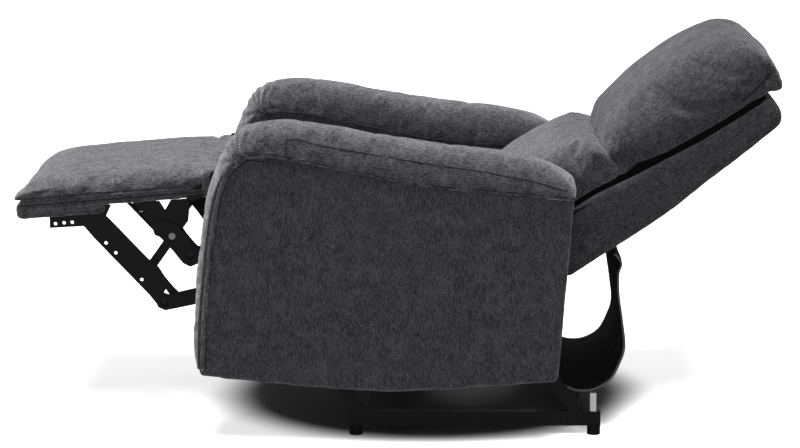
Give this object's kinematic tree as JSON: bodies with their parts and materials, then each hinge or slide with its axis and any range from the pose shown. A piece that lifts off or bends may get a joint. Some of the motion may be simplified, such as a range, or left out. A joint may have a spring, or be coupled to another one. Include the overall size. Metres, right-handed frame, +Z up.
{
  "type": "recliner armchair",
  "caption": "Upholstered push-back recliner armchair, reclined with its footrest out, on a low steel base with swing links.",
  "frame": {"origin": "on the floor under the middle of the whole reclined chair", "axes": "+Z up, the sitter faces -Y with the footrest towards -Y, +X is towards the sitter's left arm"},
  "size_m": [0.784, 1.6231, 0.8559],
  "materials": {
    "upholstery": "woven charcoal melange upholstery",
    "black_steel": "black powder-coated pressed steel",
    "black_fabric": "thin black lining cloth",
    "frame_wood": "plain frame wood",
    "zinc_steel": "bright zinc plated steel",
    "black_plastic": "black moulded plastic",
    "spring_steel": "grey spring wire"
  },
  "bodies": {
    "base": {"base_brackets": "black_steel", "base_front_tube": "black_steel", "base_pivot_pins": "black_steel", "base_rail_left": "black_steel", "base_rail_right": "black_steel", "base_rear_tube": "black_steel", "floor_feet": "black_plastic", "rear_posts": "zinc_steel"},
    "front_swing": {"front_swing_links": "black_steel"},
    "rear_swing": {"rear_swing_links": "black_steel"},
    "seat_unit": {"arm_bolts": "black_steel", "arm_cap_left": "upholstery", "arm_cap_right": "upholstery", "arm_frame_left": "frame_wood", "arm_frame_right": "frame_wood", "arm_front_cover_left": "upholstery", "arm_front_cover_right": "upholstery", "arm_inner_panel_left": "upholstery", "arm_inner_panel_right": "upholstery", "arm_outer_panel_left": "upholstery", "arm_outer_panel_right": "upholstery", "body_cross_tubes": "black_steel", "flap_hangers": "black_steel", "flap_rail": "black_steel", "footrest_bridge": "upholstery", "rear_flap": "black_fabric", "seat_cushion": "upholstery", "seat_deck": "black_fabric", "seat_front_rail": "frame_wood", "seat_middle_tube": "black_steel", "seat_pivot_pins": "black_steel", "seat_rear_rail": "frame_wood", "seat_side_rails": "frame_wood", "seat_springs": "spring_steel", "side_plate_left": "black_steel", "side_plate_right": "black_steel"},
    "back": {"back_bracket_left": "black_steel", "back_bracket_right": "black_steel", "back_cross_rails": "frame_wood", "back_shell": "upholstery", "back_side_rails": "frame_wood", "back_springs": "spring_steel", "head_pillow": "upholstery", "lumbar_cushion": "upholstery"},
    "footrest": {"footrest_board": "frame_wood", "footrest_bracket_left": "black_steel", "footrest_bracket_right": "black_steel", "footrest_front_strip": "upholstery", "footrest_lugs": "black_steel", "footrest_pad": "upholstery"},
    "bell_link": {"bell_link_left": "black_steel", "bell_link_pins": "black_steel", "bell_link_right": "black_steel", "torque_tube": "black_steel"},
    "front_link": {"front_link_left": "black_steel", "front_link_right": "black_steel", "front_link_stays": "black_steel"},
    "toggle_link": {"toggle_link_caps": "spring_steel", "toggle_link_left": "black_steel", "toggle_link_right": "black_steel"}
  },
  "joints": [
    {"name": "front_swing", "type": "hinge", "parent": "base", "child": "front_swing", "pos_m": [0, -0.097, 0.062], "axis": [-1, 0, 0], "range_deg": [0, 60]},
    {"name": "rear_swing", "type": "hinge", "parent": "base", "child": "rear_swing", "pos_m": [0, 0.353, 0.062], "axis": [-1, 0, 0], "range_deg": [0, 60]},
    {"name": "seat_unit_pivot", "type": "hinge", "parent": "front_swing", "child": "seat_unit", "pos_m": [0, -0.20501, 0.19586], "axis": [1, 0, 0], "range_deg": [0, 60]},
    {"name": "back_recline", "type": "hinge", "parent": "seat_unit", "child": "back", "pos_m": [0, 0.253, 0.43], "axis": [1, 0, 0], "range_deg": [0, 40], "deforming": ["rear_flap"]},
    {"name": "footrest_fold", "type": "hinge", "parent": "seat_unit", "child": "footrest", "pos_m": [0, -0.389, 0.549], "axis": [1, 0, 0], "range_deg": [0, 85.3], "deforming": ["footrest_bridge"]},
    {"name": "bell_link_pivot", "type": "hinge", "parent": "seat_unit", "child": "bell_link", "pos_m": [0, -0.329, 0.468], "axis": [1, 0, 0], "range_deg": [0, 106.7]},
    {"name": "front_link_pivot", "type": "hinge", "parent": "bell_link", "child": "front_link", "pos_m": [0, -0.507, 0.286], "axis": [-1, 0, 0], "range_deg": [0, 38.9]},
    {"name": "toggle_link_pivot", "type": "hinge", "parent": "bell_link", "child": "toggle_link", "pos_m": [0, -0.45, 0.386], "axis": [-1, 0, 0], "range_deg": [0, 89]}
  ],
  "couplings": [
    {"joint": "rear_swing", "follows": "front_swing", "ratio": 1},
    {"joint": "seat_unit_pivot", "follows": "front_swing", "ratio": 1},
    {"joint": "back_recline", "follows": "front_swing", "ratio": 0.6666},
    {"joint": "bell_link_pivot", "follows": "footrest_fold", "ratio": 1.25},
    {"joint": "front_link_pivot", "follows": "footrest_fold", "ratio": 0.4549},
    {"joint": "toggle_link_pivot", "follows": "footrest_fold", "ratio": 1.0422}
  ]
}
